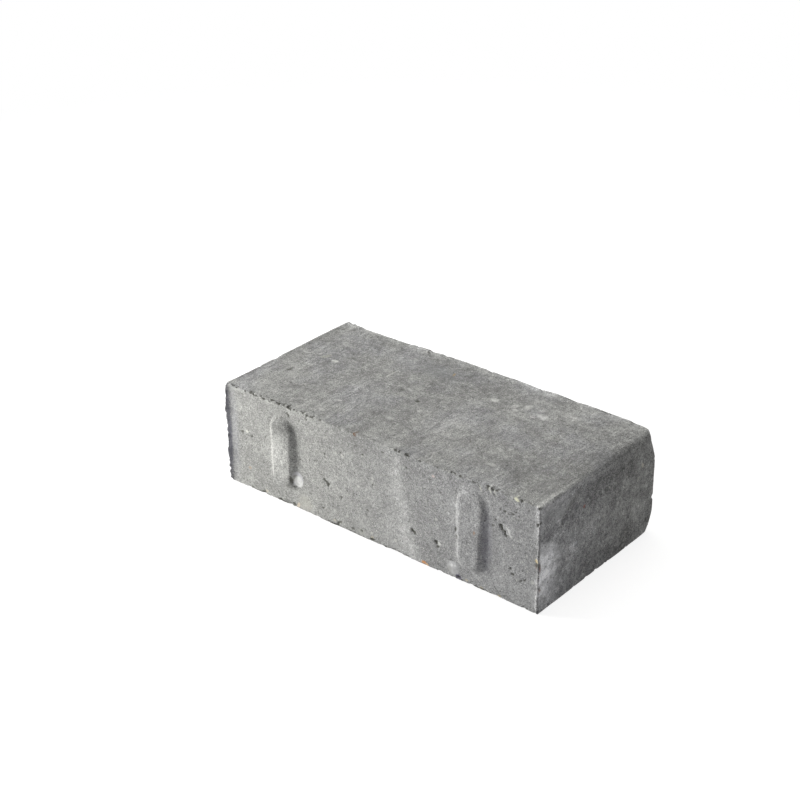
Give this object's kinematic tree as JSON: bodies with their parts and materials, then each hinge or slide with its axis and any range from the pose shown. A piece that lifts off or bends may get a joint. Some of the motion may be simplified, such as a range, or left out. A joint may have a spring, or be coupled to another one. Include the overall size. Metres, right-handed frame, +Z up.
{
  "type": "concrete paving stone",
  "caption": "Plain rectangular grey concrete paving stone, a flat block with long, round-cornered spacer nibs standing out of its long sides.",
  "frame": {"origin": "centre of the bed face, the underside on which the stone lies", "axes": "+X along the length, -Y out of the long side that the picture shows, +Z up through the walking face"},
  "size_m": [0.208, 0.105, 0.06],
  "materials": {
    "concrete": "matt, fine-grained, as pressed"
  },
  "bodies": {
    "root": {"paving_stone": "concrete"}
  },
  "joints": []
}
